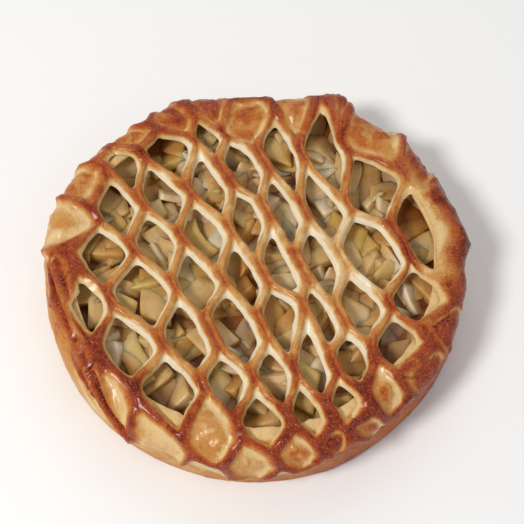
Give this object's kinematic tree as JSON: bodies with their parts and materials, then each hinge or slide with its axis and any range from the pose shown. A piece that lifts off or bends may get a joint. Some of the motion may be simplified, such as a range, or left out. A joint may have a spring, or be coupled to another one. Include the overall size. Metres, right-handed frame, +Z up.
{
  "type": "apple pie",
  "caption": "Round baked pie with a slit dough net draped over cooked apple pieces in a golden crust shell.",
  "frame": {"origin": "middle of the flat underside that the pie rests on", "axes": "+Z up through the crust, -Y towards the viewer of the picture, +X to the right"},
  "size_m": [0.2376, 0.231, 0.0433],
  "materials": {
    "baked_crust": "baked dough, dull golden brown",
    "cooked_apple": "moist cooked apple, pale straw",
    "glazed_crust": "egg-washed baked dough, satin, golden to red-brown ridges"
  },
  "bodies": {
    "root": {"crust_shell": "baked_crust", "apple_filling": "cooked_apple", "lattice_top": "glazed_crust"}
  },
  "joints": []
}
